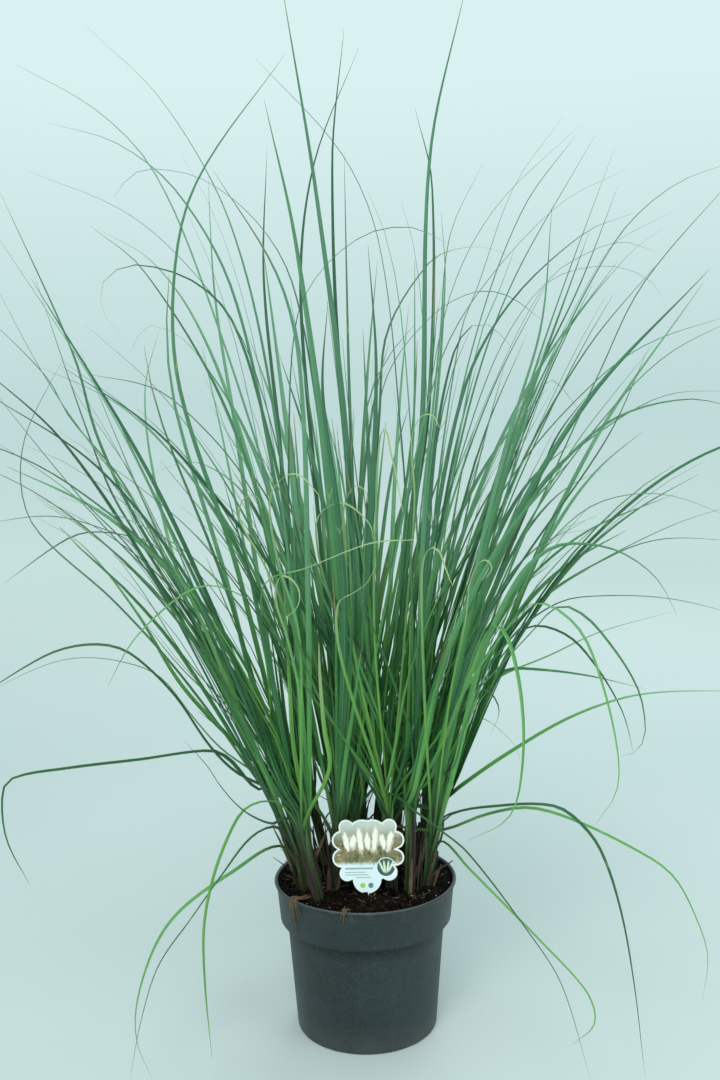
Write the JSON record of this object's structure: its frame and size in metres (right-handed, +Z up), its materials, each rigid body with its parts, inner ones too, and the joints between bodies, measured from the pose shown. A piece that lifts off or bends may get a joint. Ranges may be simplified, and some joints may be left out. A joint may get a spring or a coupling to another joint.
{
  "type": "potted pampas grass",
  "caption": "Clump of pampas grass in a nursery container: long arching blades rise from sheathed shoots in potting soil, with a scalloped plant label on a stake.",
  "frame": {"origin": "The middle of the pot's foot, on the surface that it stands on, which is also the middle of the plant's spread to within a few millimetres.", "axes": "+Z is up, the way the plant grows. The label faces -Y, towards the picture's viewer, and +X is to the viewer's right."},
  "size_m": [1.19, 0.93, 1.4311],
  "materials": {
    "pot_plastic": "satin",
    "potting_soil": "matte",
    "label_card": "satin",
    "pampas_leaf": "satin"
  },
  "bodies": {
    "root": {"pot": "pot_plastic", "soil": "potting_soil", "label": "label_card", "shoot_01": "pampas_leaf", "shoot_02": "pampas_leaf", "shoot_03": "pampas_leaf", "shoot_04": "pampas_leaf", "shoot_05": "pampas_leaf", "shoot_06": "pampas_leaf", "shoot_07": "pampas_leaf", "shoot_08": "pampas_leaf", "shoot_09": "pampas_leaf", "shoot_10": "pampas_leaf", "shoot_11": "pampas_leaf", "shoot_12": "pampas_leaf", "shoot_13": "pampas_leaf", "shoot_14": "pampas_leaf", "shoot_15": "pampas_leaf", "shoot_16": "pampas_leaf", "shoot_17": "pampas_leaf", "shoot_18": "pampas_leaf", "shoot_19": "pampas_leaf", "shoot_20": "pampas_leaf", "shoot_21": "pampas_leaf", "shoot_22": "pampas_leaf", "shoot_23": "pampas_leaf", "shoot_24": "pampas_leaf", "shoot_25": "pampas_leaf", "shoot_26": "pampas_leaf"}
  },
  "joints": []
}
